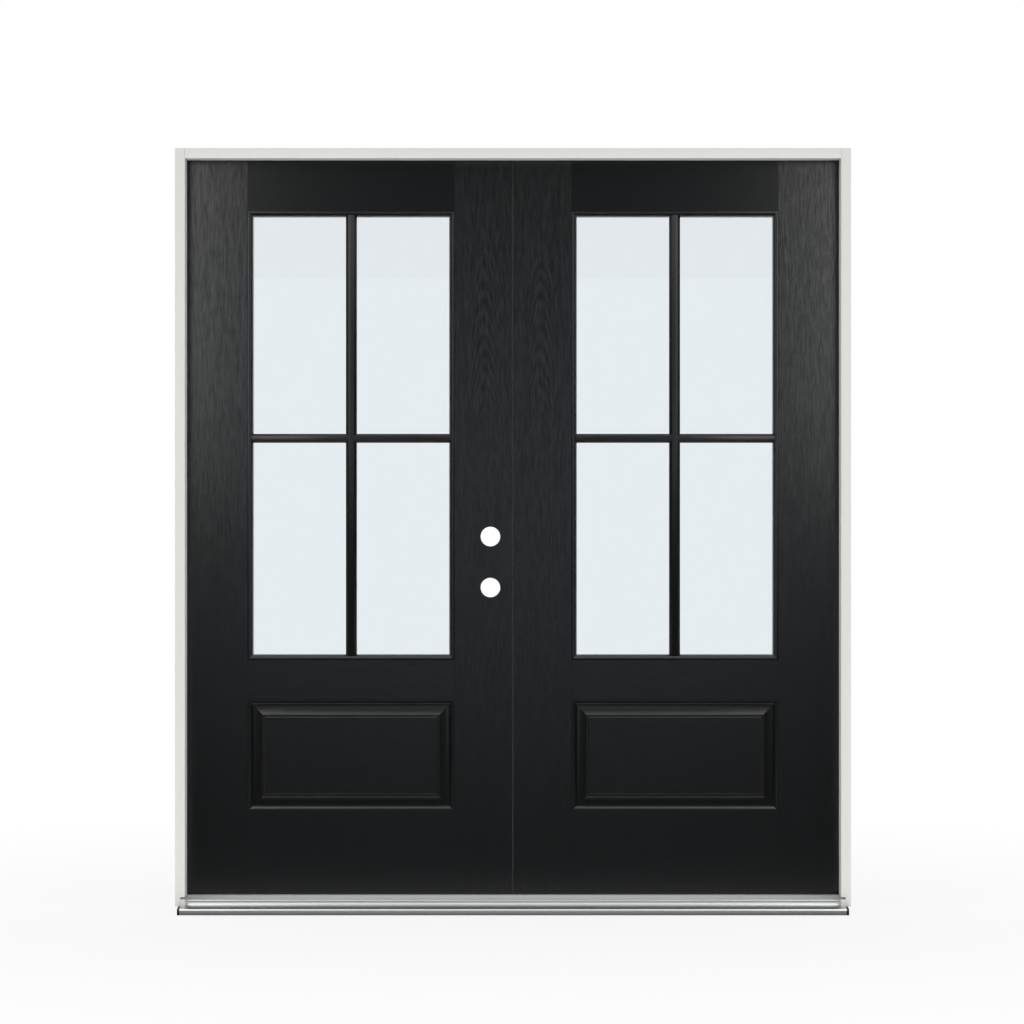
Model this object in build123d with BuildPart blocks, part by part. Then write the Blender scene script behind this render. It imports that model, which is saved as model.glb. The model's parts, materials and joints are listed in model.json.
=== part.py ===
from build123d import *
import os

# A prehung pair of fibreglass entrance doors in a rabbeted frame: two half-lite leaves that open inwards.
# X runs along the sill, outdoors is towards -Y, and Z is up. The origin lies on the underside of the sill,
# at the middle of its length and of the jambs' depth. All lengths are millimetres.

# Leaves: the visible faces of stiles and rails frame one lite above one raised panel
leaf_width = 898.0
leaf_height = 2007.0
leaf_thickness = 44.45
skin_thickness = 2.4
hinge_stile_face = 174.4
bottom_rail_face = 220.0
mid_rail_face = 109.5
panel_height = 303.5
lock_stile_face = 158.6
top_rail_face = 147.4

# Framing hidden between the skins of a leaf
stile_width = 30.0
top_rail_height = 45.0
bottom_rail_height = 60.0
lock_block_width = 120.0
lock_block_height = 420.0

# Gaps around the leaves
hinge_gap = 3.2
head_gap = 3.2
meeting_gap = 3.2
sweep_gap = 8.0
soft_clearance = 0.4
overrun = 2.0

# Raised panel, pressed into the skin: runs go inwards from the rim, depths go down from the face
rim_run = 0.8
rim_depth = 1.6
rim_ledge_run = 2.2
ovolo_run = 12.0
valley_depth = 10.0
valley_run = 3.0
bevel_run = 18.0
bevel_depth = 5.5
cove_run = 5.0
bead_depth = 2.5
bead_run = 5.0
field_step_run = 2.0
field_depth = 0.8
field_margin = 2.0

# Lite: a moulded frame with its dividing bars on each side of a sealed double pane
glass_setback = 12.0
pane_thickness = 3.2
pane_clearance = 3.0
spacer_width = 9.0
spacer_inset = 2.0
quirk_width = 1.6
quirk_depth = 2.0
crest_depth = 0.4
crest_width = 1.6
sight_width = 14.5
lip_run = 2.5
lip_depth = 6.5
upright_bar_width = 29.0
cross_bar_width = 24.0
bar_flat_share = 0.5
bar_face_depth = 3.0
bar_edge_height = 3.0
cross_bar_drop = 7.0

# Lock holes in the active leaf
lock_backset = 60.3
lockset_height = 884.0
lock_spacing = 139.7
lock_bore_radius = 26.99
latch_bore_radius = 12.7
latch_plate_height = 57.2
latch_plate_width = 25.4
latch_plate_depth = 3.6

# Jambs: a leg that the leaf closes into and a stop that it closes against
jamb_depth = 115.9
jamb_leg = 14.3
stop_rise = 12.7
stop_edge_radius = 1.5
seal_thickness = 9.5
kerf_width = 3.0
kerf_depth = 10.0
fin_thickness = 2.4
fin_depth = 9.0
bulb_width = 11.5
bulb_radius = 3.5

# Sill: aluminium nose and tread over a composite base, with a raised cap under the leaves
threshold_top = 45.5
sill_sheet = 2.0
nose_reach = 27.0
nose_top = 17.0
nose_lift = 2.0
nose_radius = 5.0
riser_radius = 3.0
tread_rise = 8.0
tread_depth = 60.0
riser_height = 11.0
cap_foot = 28.0
cap_ledge = 15.0
cap_lip_overlap = 2.0
cap_lip_height = 2.0
cap_slope_run = 8.0
cap_back_radius = 4.0
sill_end_inset = 8.0
end_cap_thickness = 6.5
end_dam_top = 40.0
stop_foot_gap = 0.5

# Sweep under each leaf
sweep_plate = 3.0
sweep_fin = 2.2
sweep_side_inset = 1.5
sweep_end_inset = 2.0

# Hinges: three butt hinges a leaf, five knuckles each, with few-sided rounds because they repeat so often
hinge_height = 101.6
hinge_reach = 34.0
hinge_sheet = 2.6
hinge_from_top = 231.0
hinge_from_bottom = 300.0
knuckle_radius = 6.5
knuckle_count = 5
barrel_sides = 6
knuckle_slit = 0.35
barrel_standoff = 0.6
pin_radius = 3.9
pin_clearance = 0.06
pin_head_radius = 5.4
pin_head_height = 3.2
pin_head_taper = 30.0
screw_head_radius = 4.3
screw_sides = 6
screw_head_taper = 35.0
screw_length = 13.0
screw_clearance = 0.1
screw_row_shares = (-0.37, -0.13, 0.13, 0.37)
screw_near_share = 0.32
screw_far_share = 0.72

# Meeting edge of the passive leaf: a seal and two sliding flush bolts
meeting_seal_width = 7.0
meeting_seal_proud = 1.3
meeting_seal_inset = 1.2
bolt_width = 10.0
bolt_clearance = 0.1
bolt_travel = 14.0
bolt_setback = 0.5
bolt_length = 96.0
bolt_plate_sheet = 2.5
bolt_plate_width = 19.0
bolt_plate_height = 130.0
bolt_plate_return = 21.0
bolt_axis_depth = 11.0
guide_width = 14.0
guide_height = 12.0
guide_from_end = 78.0
thumb_width = 8.0
thumb_height = 12.0
thumb_from_end = 46.0
thumb_clearance = 0.5
strike_sheet = 1.6
strike_width = 24.0
strike_hole_width = 12.6
strike_hole_depth = 12.0

# Places worked out from the sizes
lite_width = leaf_width - hinge_stile_face - lock_stile_face
lite_height = leaf_height - bottom_rail_face - panel_height - mid_rail_face - top_rail_face
frame_width = 2 * (leaf_width + hinge_gap + jamb_leg) + meeting_gap
leaf_bottom = threshold_top + sweep_gap
leaf_top = leaf_bottom + leaf_height
head_face = leaf_top + head_gap
frame_height = head_face + jamb_leg
jamb_front = -jamb_depth / 2
jamb_back = jamb_depth / 2
leaf_back = jamb_back
leaf_front = leaf_back - leaf_thickness
leaf_middle_y = (leaf_front + leaf_back) / 2
stop_back = leaf_front - seal_thickness
jamb_face = frame_width / 2 - jamb_leg
hinge_edge = jamb_face - hinge_gap
lock_edge = hinge_edge - leaf_width
panel_bottom = leaf_bottom + bottom_rail_face
lite_bottom = panel_bottom + panel_height + mid_rail_face
lite_middle_z = lite_bottom + lite_height / 2
panel_middle_z = panel_bottom + panel_height / 2
leaf_middle_z = leaf_bottom + leaf_height / 2
lite_reach = hinge_stile_face + lite_width / 2
lock_heights = (lockset_height, lockset_height + lock_spacing)
lock_block_middle = sum(lock_heights) / 2
glass_front = leaf_front + glass_setback
glass_back = leaf_back - glass_setback
panel_border = (
    rim_run + rim_ledge_run + ovolo_run + valley_run + bevel_run
    + cove_run + bead_run + field_step_run + field_margin
)
hinge_heights = (
    leaf_bottom + hinge_from_bottom,
    (leaf_bottom + hinge_from_bottom + leaf_top - hinge_from_top) / 2,
    leaf_top - hinge_from_top,
)
pin_x = hinge_edge + hinge_gap / 2
pin_y = jamb_back + barrel_standoff + knuckle_radius
nose_front = jamb_front - nose_reach
riser_front = nose_front + tread_depth
riser_foot = nose_top + tread_rise
riser_top = riser_foot + riser_height
cap_front = riser_front + cap_ledge
flange_end = cap_front + cap_lip_overlap
tread_at_jamb = nose_top + tread_rise * nose_reach / tread_depth
stop_foot = threshold_top + stop_foot_gap
sill_half = frame_width / 2 - sill_end_inset
deck_half = sill_half - end_cap_thickness
bolt_x = lock_edge + bolt_axis_depth

LEFT = -1
RIGHT = 1


def leaf_x(side, reach):
    """X of a point on a leaf, a given reach in from its hinge edge."""
    return side * (hinge_edge - reach)


def face_plane(y):
    """Upright plane at depth y, with X to the right and Z up; cuts run inwards at negative amounts."""
    return Plane.XZ.offset(-y)


def write(piece, name):
    """Label one finished piece and store it."""
    piece.label = name
    export_step(piece, f"parts/{name}.step")


def rim_path(middle_x, middle_z, width, height):
    """Closed rectangle on the leaf's outer face, begun in the middle of its lower side."""
    left, right = middle_x - width / 2, middle_x + width / 2
    low, high = middle_z - height / 2, middle_z + height / 2
    with BuildLine(face_plane(leaf_front)) as path:
        Polyline((middle_x, low), (right, low), (right, high), (left, high), (left, low), close=True)
    return path.wire()


def rim_section(middle_x, low_z):
    """Plane across that rectangle's lower side: its x runs inwards and its y runs out of the face."""
    return Plane(origin=(middle_x, leaf_front, low_z), x_dir=(0, 0, 1), z_dir=(1, 0, 0))


# Leaf skins
def moulded_skin(side):
    """Outer sheet of one leaf, with its glass opening and the raised panel pressed into it."""
    middle_x = leaf_x(side, lite_reach)
    ovolo_start = rim_run + rim_ledge_run
    valley_start = ovolo_start + ovolo_run
    bevel_start = valley_start + valley_run
    cove_start = bevel_start + bevel_run
    bead_start = cove_start + cove_run
    step_start = bead_start + bead_run
    field_start = step_start + field_step_run
    path = rim_path(middle_x, panel_middle_z, lite_width, panel_height)
    with BuildPart() as skin:
        with BuildSketch(face_plane(leaf_front)):
            with Locations((leaf_x(side, leaf_width / 2), leaf_middle_z)):
                Rectangle(leaf_width, leaf_height)
            with Locations((middle_x, lite_middle_z)):
                Rectangle(lite_width, lite_height, mode=Mode.SUBTRACT)
            with Locations((middle_x, panel_middle_z)):
                Rectangle(lite_width, panel_height, mode=Mode.SUBTRACT)
        extrude(amount=-skin_thickness)
        with BuildSketch(rim_section(middle_x, panel_bottom)):
            with BuildLine():
                rim = Polyline((0, 0), (rim_run, -rim_depth), (ovolo_start, -rim_depth))
                ovolo = TangentArc(rim @ 1, (valley_start, -valley_depth), tangent=(1, 0))
                bevel = Polyline(ovolo @ 1, (bevel_start, -valley_depth), (cove_start, -bevel_depth))
                cove = TangentArc(bevel @ 1, (bead_start, -bead_depth), tangent=bevel % 1)
                Polyline(
                    cove @ 1,
                    (step_start, -bead_depth),
                    (field_start, -field_depth),
                    (panel_border, -field_depth),
                )
                offset(amount=skin_thickness, side=Side.RIGHT, closed=True)
            make_face()
        sweep(path=path, transition=Transition.RIGHT)
        with BuildSketch(face_plane(leaf_front + field_depth)):
            with Locations((middle_x, panel_middle_z)):
                Rectangle(lite_width - 2 * panel_border, panel_height - 2 * panel_border)
        extrude(amount=-skin_thickness)
    return skin.part


def turned_inside(piece):
    """The same piece on the indoor side of the leaf."""
    return mirror(piece, about=face_plane(leaf_middle_y), mode=Mode.PRIVATE)


def with_lock_bores(piece):
    """A piece of the active leaf with the two holes for a lockset and a deadbolt cut through it."""
    with BuildPart() as bored:
        add(piece)
        with BuildSketch(face_plane(leaf_front - overrun)):
            with Locations(*[(leaf_x(LEFT, leaf_width - lock_backset), z) for z in lock_heights]):
                Circle(lock_bore_radius)
        extrude(amount=-(leaf_thickness + 2 * overrun), mode=Mode.SUBTRACT)
    return bored.part


# Framing between the skins
def framing(side, reach_from, reach_to, low, high):
    """A square-cut length of composite lumber that fills the space between the skins."""
    with BuildPart() as lumber:
        with Locations((leaf_x(side, (reach_from + reach_to) / 2), leaf_middle_y, (low + high) / 2)):
            Box(reach_to - reach_from, leaf_thickness - 2 * skin_thickness, high - low)
    return lumber.part


def hinge_plates(x, direction, back):
    """A plate at each hinge height, from its free edge to depth back, thickened from x."""
    free_edge = jamb_back - hinge_reach
    with BuildPart() as plates:
        with BuildSketch(Plane.YZ.offset(x)):
            with Locations(*[(free_edge, z) for z in hinge_heights]):
                Rectangle(back - free_edge, hinge_height, align=(Align.MIN, Align.CENTER))
        extrude(amount=direction * hinge_sheet)
    return plates.part


def without(piece, *cutters):
    """A piece with other solids cut away from it."""
    with BuildPart() as trimmed:
        add(piece)
        for cutter in cutters:
            add(cutter, mode=Mode.SUBTRACT)
    return trimmed.part


def foam_core(side, *neighbours):
    """Foam that fills a leaf between its framing and its two skins, around the glass opening."""
    middle_x = leaf_x(side, lite_reach)
    with BuildPart() as core:
        add(framing(side, stile_width, leaf_width - stile_width,
                    leaf_bottom + bottom_rail_height, leaf_top - top_rail_height))
        with Locations((middle_x, leaf_middle_y, lite_middle_z)):
            Box(lite_width, leaf_thickness, lite_height, mode=Mode.SUBTRACT)
        with Locations((middle_x, leaf_front, panel_middle_z), (middle_x, leaf_back, panel_middle_z)):
            add(panel_groove(), mode=Mode.SUBTRACT)
        for neighbour in neighbours:
            add(neighbour, mode=Mode.SUBTRACT)
    return core.part


def panel_groove():
    """Room for a pressed panel about the middle of a leaf face: deep around its field, shallow behind it."""
    field_width = lite_width - 2 * panel_border
    field_height = panel_height - 2 * panel_border
    groove_depth = valley_depth + skin_thickness
    with BuildPart() as groove:
        Box(lite_width + 2 * skin_thickness, 2 * groove_depth, panel_height + 2 * skin_thickness)
        Box(field_width, 2 * groove_depth, field_height, mode=Mode.SUBTRACT)
        Box(field_width, 2 * (field_depth + skin_thickness), field_height)
    return groove.part


# Lite
def lite_frame(side):
    """Moulded frame that holds the glass from outdoors, in one piece with its dividing bars."""
    middle_x = leaf_x(side, lite_reach)
    path = rim_path(middle_x, lite_middle_z, lite_width, lite_height)
    bar_z = lite_middle_z - cross_bar_drop
    with BuildPart() as surround:
        with BuildSketch(rim_section(middle_x, lite_bottom)):
            with BuildLine():
                quirk = Polyline(
                    (0, -glass_setback),
                    (0, -quirk_depth),
                    (quirk_width, -quirk_depth),
                    (quirk_width, -crest_depth),
                    (quirk_width + crest_width, -crest_depth),
                )
                ovolo = TangentArc(quirk @ 1, (sight_width - lip_run, -lip_depth), tangent=(1, 0))
                Polyline(ovolo @ 1, (sight_width, -glass_setback), quirk @ 0)
            make_face()
        sweep(path=path, transition=Transition.RIGHT)
        with BuildSketch(Plane((middle_x, glass_front, lite_bottom + sight_width / 2))):
            Polygon(*bar_section(upright_bar_width), align=None)
        extrude(amount=lite_height - sight_width)
        across = Plane((middle_x - (lite_width - sight_width) / 2, glass_front, bar_z),
                       x_dir=(0, 0, -1), z_dir=(1, 0, 0))
        with BuildSketch(across):
            Polygon(*bar_section(cross_bar_width), align=None)
        extrude(amount=lite_width - sight_width)
    return surround.part


def bar_section(width):
    """Corners of a dividing bar on the glass: low upright edges, sloped sides and a flat face."""
    rise = glass_setback - bar_face_depth
    half, flat = width / 2, width * bar_flat_share / 2
    return [
        (-half, 0),
        (-half, -bar_edge_height),
        (-flat, -rise),
        (flat, -rise),
        (half, -bar_edge_height),
        (half, 0),
    ]


def glass_pane(side, front):
    """One sheet of the sealed double pane, its outer face at the given depth."""
    with BuildPart() as pane:
        with BuildSketch(face_plane(front)):
            with Locations((leaf_x(side, lite_reach), lite_middle_z)):
                Rectangle(lite_width - 2 * pane_clearance, lite_height - 2 * pane_clearance)
        extrude(amount=-pane_thickness)
    return pane.part


def glass_spacer(side):
    """Hollow bar that runs round the pane's edge and keeps its two sheets apart."""
    inset = pane_clearance + spacer_inset
    cavity = glass_back - glass_front - 2 * pane_thickness
    with BuildPart() as spacer:
        with BuildSketch(face_plane(glass_front + pane_thickness)):
            with Locations((leaf_x(side, lite_reach), lite_middle_z)):
                Rectangle(lite_width - 2 * inset, lite_height - 2 * inset)
                Rectangle(
                    lite_width - 2 * (inset + spacer_width),
                    lite_height - 2 * (inset + spacer_width),
                    mode=Mode.SUBTRACT,
                )
        extrude(amount=-cavity)
    return spacer.part


# Sweep
def door_sweep(side):
    """Vinyl strip under a leaf: a plate on the bottom rail with three fins that brush the threshold."""
    front, back = leaf_front + sweep_side_inset, leaf_back - sweep_side_inset
    fin_low = threshold_top + soft_clearance
    fin_high = leaf_bottom - sweep_plate
    length = leaf_width - 2 * sweep_end_inset
    fin_places = [front, leaf_middle_y - sweep_fin / 2, back - sweep_fin]
    with BuildPart() as sweep_strip:
        with BuildSketch(Plane.YZ.offset(leaf_x(side, leaf_width / 2) - length / 2)):
            with Locations((front, fin_high)):
                Rectangle(back - front, sweep_plate, align=(Align.MIN, Align.MIN))
            with Locations(*[(y, fin_low) for y in fin_places]):
                Rectangle(sweep_fin, fin_high - fin_low, align=(Align.MIN, Align.MIN))
        extrude(amount=length)
    return sweep_strip.part


# Hinges
def hinge_face(x, direction):
    """Plane on the open face of a hinge leaf: its x runs indoors and its z runs into the wood."""
    return Plane((x, 0, 0), x_dir=(0, 1, 0), z_dir=(direction, 0, 0))


def screw_places(direction):
    """Places of the screws of one edge's three hinge leaves on that plane."""
    near = jamb_back - hinge_reach * screw_near_share
    far = jamb_back - hinge_reach * screw_far_share
    places = []
    for z in hinge_heights:
        for row, share in enumerate(screw_row_shares):
            at_end = row in (0, len(screw_row_shares) - 1)
            places.append((far if at_end else near, direction * (z + share * hinge_height)))
    return places


def hinge_leaves(side, x, direction, first_knuckle):
    """Three butt hinge leaves on one edge, with every second knuckle from the first one given."""
    pitch = hinge_height / knuckle_count
    knuckle_height = pitch - knuckle_slit
    notch_reach = knuckle_radius + soft_clearance
    own = range(first_knuckle, knuckle_count, 2)
    others = range(1 - first_knuckle, knuckle_count, 2)

    def middles(knuckles):
        return [z - hinge_height / 2 + (n + 1 / 2) * pitch for z in hinge_heights for n in knuckles]

    with BuildPart() as leaves:
        add(hinge_plates(x, direction, pin_y - pin_radius))
        with Locations(*[(x, pin_y, z) for z in middles(others)]):
            Box(2 * notch_reach, 2 * notch_reach, pitch + knuckle_slit, mode=Mode.SUBTRACT)
        for z in middles(own):
            with BuildSketch(Plane.XY.offset(z - knuckle_height / 2)):
                with Locations((side * pin_x, pin_y)):
                    RegularPolygon(knuckle_radius, barrel_sides)
                    RegularPolygon(pin_radius + pin_clearance, barrel_sides, major_radius=False,
                                   mode=Mode.SUBTRACT)
            extrude(amount=knuckle_height)
        with BuildSketch(hinge_face(x, direction)):
            with Locations(*screw_places(direction)):
                RegularPolygon(screw_head_radius + screw_clearance, screw_sides)
        extrude(amount=hinge_sheet, taper=screw_head_taper, mode=Mode.SUBTRACT)
    return leaves.part


def hinge_screws(*edges):
    """Flat-headed wood screws, four to a hinge leaf, for each edge given as its x and direction."""
    with BuildPart() as screws:
        for x, direction in edges:
            with BuildSketch(hinge_face(x, direction)):
                with Locations(*screw_places(direction)):
                    RegularPolygon(screw_head_radius, screw_sides)
            extrude(amount=hinge_sheet, taper=screw_head_taper)
            head_ends = screws.faces().group_by(Axis.X)[-1 if direction > 0 else 0]
            extrude(head_ends, amount=screw_length - hinge_sheet)
    return screws.part


def hinge_pins():
    """Loose pins with tapered heads, one in each hinge barrel."""
    axes = [(LEFT * pin_x, pin_y), (RIGHT * pin_x, pin_y)]
    with BuildPart() as pins:
        for z in hinge_heights:
            with BuildSketch(Plane.XY.offset(z - hinge_height / 2)):
                with Locations(*axes):
                    RegularPolygon(pin_radius, barrel_sides)
            extrude(amount=hinge_height)
            with BuildSketch(Plane.XY.offset(z + hinge_height / 2)):
                with Locations(*axes):
                    RegularPolygon(pin_head_radius, barrel_sides)
            extrude(amount=pin_head_height, taper=pin_head_taper)
    return pins.part


# Frame
def along_sill(half_length):
    """Plane across the left end of a length of sill: its x runs indoors and its y runs up."""
    return Plane.YZ.offset(-half_length)


def sill_outline():
    """Corners of the whole sill in section, from its nose to its indoor edge."""
    return [
        (nose_front, 0),
        (nose_front, nose_top),
        (riser_front, riser_foot),
        (riser_front, riser_top),
        (cap_front, riser_top),
        (cap_front, riser_top + cap_lip_height),
        (cap_front + cap_slope_run, threshold_top),
        (jamb_back, threshold_top),
        (jamb_back, 0),
    ]


def side_jamb(side):
    """Upright of the frame: leg, stop and seal kerf in one section, its foot cut to the sill."""
    with BuildPart() as jamb:
        with BuildSketch() as section:
            with BuildLine():
                Polyline(
                    (side * frame_width / 2, jamb_front),
                    (side * frame_width / 2, jamb_back),
                    (side * jamb_face, jamb_back),
                    (side * jamb_face, stop_back),
                    (side * (jamb_face - stop_rise), stop_back),
                    (side * (jamb_face - stop_rise), jamb_front),
                    close=True,
                )
            make_face()
            arris = section.vertices().group_by(Axis.Y)[0].sort_by(Axis.X)
            fillet(arris[-1] if side == LEFT else arris[0], stop_edge_radius)
            with Locations((side * (jamb_face - kerf_width / 2), stop_back)):
                Rectangle(kerf_width, 2 * kerf_depth, mode=Mode.SUBTRACT)
        extrude(amount=frame_height)
        with Locations((side * (jamb_face - stop_rise / 2), (jamb_front + stop_back) / 2, 0)):
            Box(stop_rise, stop_back - jamb_front, 2 * stop_foot, mode=Mode.SUBTRACT)
        with BuildSketch(along_sill(frame_width / 2 + overrun)):
            Polygon(*sill_outline(), align=None)
        extrude(amount=frame_width + 2 * overrun, mode=Mode.SUBTRACT)
        add(hinge_plates(side * jamb_face, side, jamb_back + overrun), mode=Mode.SUBTRACT)
    return jamb.part


def head_jamb():
    """Top of the frame, fitted between the side jambs, with the pocket and hole for the top bolt."""
    with BuildPart() as head:
        with BuildSketch(along_sill(jamb_face)) as section:
            with Locations((jamb_front, head_face)):
                Rectangle(jamb_depth, jamb_leg, align=(Align.MIN, Align.MIN))
            with Locations((jamb_front, head_face)):
                Rectangle(stop_back - jamb_front, stop_rise, align=(Align.MIN, Align.MAX))
            fillet(section.vertices().group_by(Axis.Y)[0].sort_by(Axis.X)[0], stop_edge_radius)
            with Locations((stop_back, head_face - kerf_width / 2)):
                Rectangle(2 * kerf_depth, kerf_width, mode=Mode.SUBTRACT)
        extrude(amount=2 * jamb_face)
        for side in (LEFT, RIGHT):
            with Locations((side * (jamb_face - stop_rise / 2), (jamb_front + stop_back) / 2, head_face)):
                Box(stop_rise, stop_back - jamb_front, 2 * (stop_rise + jamb_leg), mode=Mode.SUBTRACT)
        with Locations((bolt_x, leaf_middle_y, head_face)):
            Box(strike_width, strike_width, 2 * strike_sheet, mode=Mode.SUBTRACT)
            Box(strike_hole_width, strike_hole_width, 2 * strike_hole_depth, mode=Mode.SUBTRACT)
    return head.part


def side_weatherstrip(side):
    """Foam bulb on a barbed fin, pushed into the kerf of a side jamb."""
    bulb_depth = seal_thickness - soft_clearance
    with BuildPart() as strip:
        with BuildSketch(Plane.XY.offset(stop_foot)) as section:
            with Locations((side * (jamb_face - bulb_width / 2), stop_back)):
                Rectangle(bulb_width, bulb_depth, align=(Align.CENTER, Align.MIN))
            fillet(section.vertices().group_by(Axis.Y)[-1], bulb_radius)
            with Locations((side * (jamb_face - kerf_width / 2), stop_back)):
                Rectangle(fin_thickness, fin_depth, align=(Align.CENTER, Align.MAX))
        extrude(amount=head_face - stop_foot)
    return strip.part


def head_weatherstrip():
    """The same bulb and fin along the head, cut to fit between the side strips."""
    half_length = jamb_face - stop_rise
    bulb_depth = seal_thickness - soft_clearance
    with BuildPart() as strip:
        with BuildSketch(along_sill(half_length)) as section:
            with Locations((stop_back, head_face - bulb_width / 2)):
                Rectangle(bulb_depth, bulb_width, align=(Align.MIN, Align.CENTER))
            fillet(section.vertices().group_by(Axis.X)[-1], bulb_radius)
            with Locations((stop_back, head_face - kerf_width / 2)):
                Rectangle(fin_depth, fin_thickness, align=(Align.MAX, Align.CENTER))
        extrude(amount=2 * half_length)
    return strip.part


def sill_deck():
    """Bent aluminium sheet: nose, sloped tread, riser and the flange under the cap."""
    with BuildPart() as deck:
        with BuildSketch(along_sill(deck_half)):
            with BuildLine():
                FilletPolyline(
                    (nose_front, nose_lift),
                    (nose_front, nose_top),
                    (riser_front, riser_foot),
                    (riser_front, riser_top),
                    (flange_end, riser_top),
                    radius=[nose_radius, riser_radius, riser_radius],
                )
                offset(amount=sill_sheet, side=Side.RIGHT, closed=True)
            make_face()
        extrude(amount=2 * deck_half)
    return deck.part


def threshold_cap():
    """Composite cap that the leaves close over, with the pocket and hole for the bottom bolt."""
    with BuildPart() as cap:
        with BuildSketch(along_sill(deck_half)) as section:
            with BuildLine():
                Polyline(
                    (flange_end, cap_foot),
                    (flange_end, riser_top),
                    (cap_front, riser_top),
                    (cap_front, riser_top + cap_lip_height),
                    (cap_front + cap_slope_run, threshold_top),
                    (jamb_back, threshold_top),
                    (jamb_back, cap_foot),
                    close=True,
                )
            make_face()
            fillet(section.vertices().group_by(Axis.Y)[-1].sort_by(Axis.X)[-1], cap_back_radius)
        extrude(amount=2 * deck_half)
        with Locations((bolt_x, leaf_middle_y, threshold_top)):
            Box(strike_width, strike_width, 2 * strike_sheet, mode=Mode.SUBTRACT)
            Box(strike_hole_width, strike_hole_width, 2 * strike_hole_depth, mode=Mode.SUBTRACT)
    return cap.part


def sill_base(*covers):
    """Composite block that carries the deck and the cap and lies on the floor."""
    with BuildPart() as base:
        with BuildSketch(along_sill(deck_half)):
            with BuildLine():
                Polyline(
                    (nose_front + sill_sheet, 0),
                    (nose_front + sill_sheet, nose_top),
                    (riser_front, riser_foot),
                    (riser_front + sill_sheet, riser_top - sill_sheet),
                    (flange_end, riser_top - sill_sheet),
                    (flange_end, cap_foot),
                    (jamb_back, cap_foot),
                    (jamb_back, 0),
                    close=True,
                )
            make_face()
        extrude(amount=2 * deck_half)
        for cover in covers:
            add(cover, mode=Mode.SUBTRACT)
    with BuildPart() as block:
        add(base.part.solids().sort_by(SortBy.VOLUME)[-1])
    return block.part


def sill_end_caps():
    """Black plastic plugs that close both ends of the sill."""
    with BuildPart() as caps:
        for start in (-sill_half, deck_half):
            with BuildSketch(Plane.YZ.offset(start)) as outline:
                Polygon(*sill_outline(), align=None)
                fillet(outline.vertices().group_by(Axis.X)[0].sort_by(Axis.Y)[-1], nose_radius)
            extrude(amount=end_cap_thickness)
    return caps.part


def sill_end_dams():
    """Small wedges that close the corner between the tread, the riser and the foot of each stop."""
    with BuildPart() as dams:
        for start in (-jamb_face, jamb_face - stop_rise):
            with BuildSketch(Plane.YZ.offset(start)):
                with BuildLine():
                    Polyline(
                        (jamb_front, tread_at_jamb),
                        (jamb_front, end_dam_top),
                        (riser_front, end_dam_top),
                        (riser_front, riser_foot),
                        close=True,
                    )
                make_face()
            extrude(amount=stop_rise)
    return dams.part


def strike_plate(low):
    """Square plate with a square hole that receives a flush bolt, its lower face at the given height."""
    with BuildPart() as plate:
        with BuildSketch(Plane.XY.offset(low)):
            with Locations((bolt_x, leaf_middle_y)):
                Rectangle(strike_width, strike_width)
                Rectangle(strike_hole_width, strike_hole_width, mode=Mode.SUBTRACT)
        extrude(amount=strike_sheet)
    return plate.part


# Meeting edge of the passive leaf
def meeting_seal():
    """Thin strip on the passive leaf's edge that closes the gap between the leaves."""
    front = leaf_front + meeting_seal_inset
    with BuildPart() as seal:
        with BuildSketch(Plane.XY.offset(leaf_bottom)):
            with Locations((lock_edge, front)):
                Rectangle(meeting_seal_proud, meeting_seal_width, align=(Align.MAX, Align.MIN))
        extrude(amount=leaf_height)
    return seal.part


def bolt_plate(end, up):
    """Bent plate of a flush bolt: a slotted face, a return over the leaf's end and a guide behind."""
    middle = end - up * bolt_plate_height / 2
    slot_length = thumb_height + bolt_travel + 2 * thumb_clearance
    slot_middle = end - up * (thumb_from_end - bolt_travel / 2)
    guide_depth = 2 * (bolt_axis_depth - bolt_plate_sheet)
    guide_x = lock_edge + bolt_plate_sheet
    hole_width = bolt_width + 2 * bolt_clearance
    with BuildPart() as plate:
        with Locations((lock_edge + bolt_plate_sheet / 2, leaf_middle_y, middle)):
            Box(bolt_plate_sheet, bolt_plate_width, bolt_plate_height)
        with Locations((lock_edge + bolt_plate_return / 2, leaf_middle_y, end - up * bolt_plate_sheet / 2)):
            Box(bolt_plate_return, bolt_plate_width, bolt_plate_sheet)
        with Locations((guide_x + guide_depth / 2, leaf_middle_y, end - up * guide_from_end)):
            Box(guide_depth, guide_width, guide_height)
        with Locations((lock_edge, leaf_middle_y, slot_middle)):
            Box(2 * guide_depth, thumb_width + 2 * thumb_clearance, slot_length, mode=Mode.SUBTRACT)
        with Locations((bolt_x, leaf_middle_y, middle)):
            Box(hole_width, hole_width, 2 * bolt_plate_height, mode=Mode.SUBTRACT)
    return plate.part


def flush_bolt(end, up):
    """Square sliding bar of a flush bolt with its thumb piece, drawn back into the leaf."""
    thumb_reach = bolt_axis_depth - soft_clearance
    with BuildPart() as bolt:
        with Locations((bolt_x, leaf_middle_y, end - up * (bolt_setback + bolt_length / 2))):
            Box(bolt_width, bolt_width, bolt_length)
        with Locations((bolt_x - thumb_reach / 2, leaf_middle_y, end - up * thumb_from_end)):
            Box(thumb_reach, thumb_width, thumb_height)
    return bolt.part


def bolt_pocket(end, up):
    """Space that a flush bolt and its plate take up in the edge of the leaf."""
    with BuildPart() as pocket:
        with Locations((lock_edge, leaf_middle_y, end)):
            Box(2 * bolt_plate_return, bolt_plate_width, 2 * bolt_plate_height)
    return pocket.part


def bolt_passage():
    """Hole under the passive leaf's corner that lets the bottom bolt through the sweep."""
    with BuildPart() as passage:
        with Locations((bolt_x, leaf_middle_y, leaf_bottom)):
            Box(strike_hole_width, strike_hole_width, 2 * sweep_gap)
    return passage.part


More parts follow.
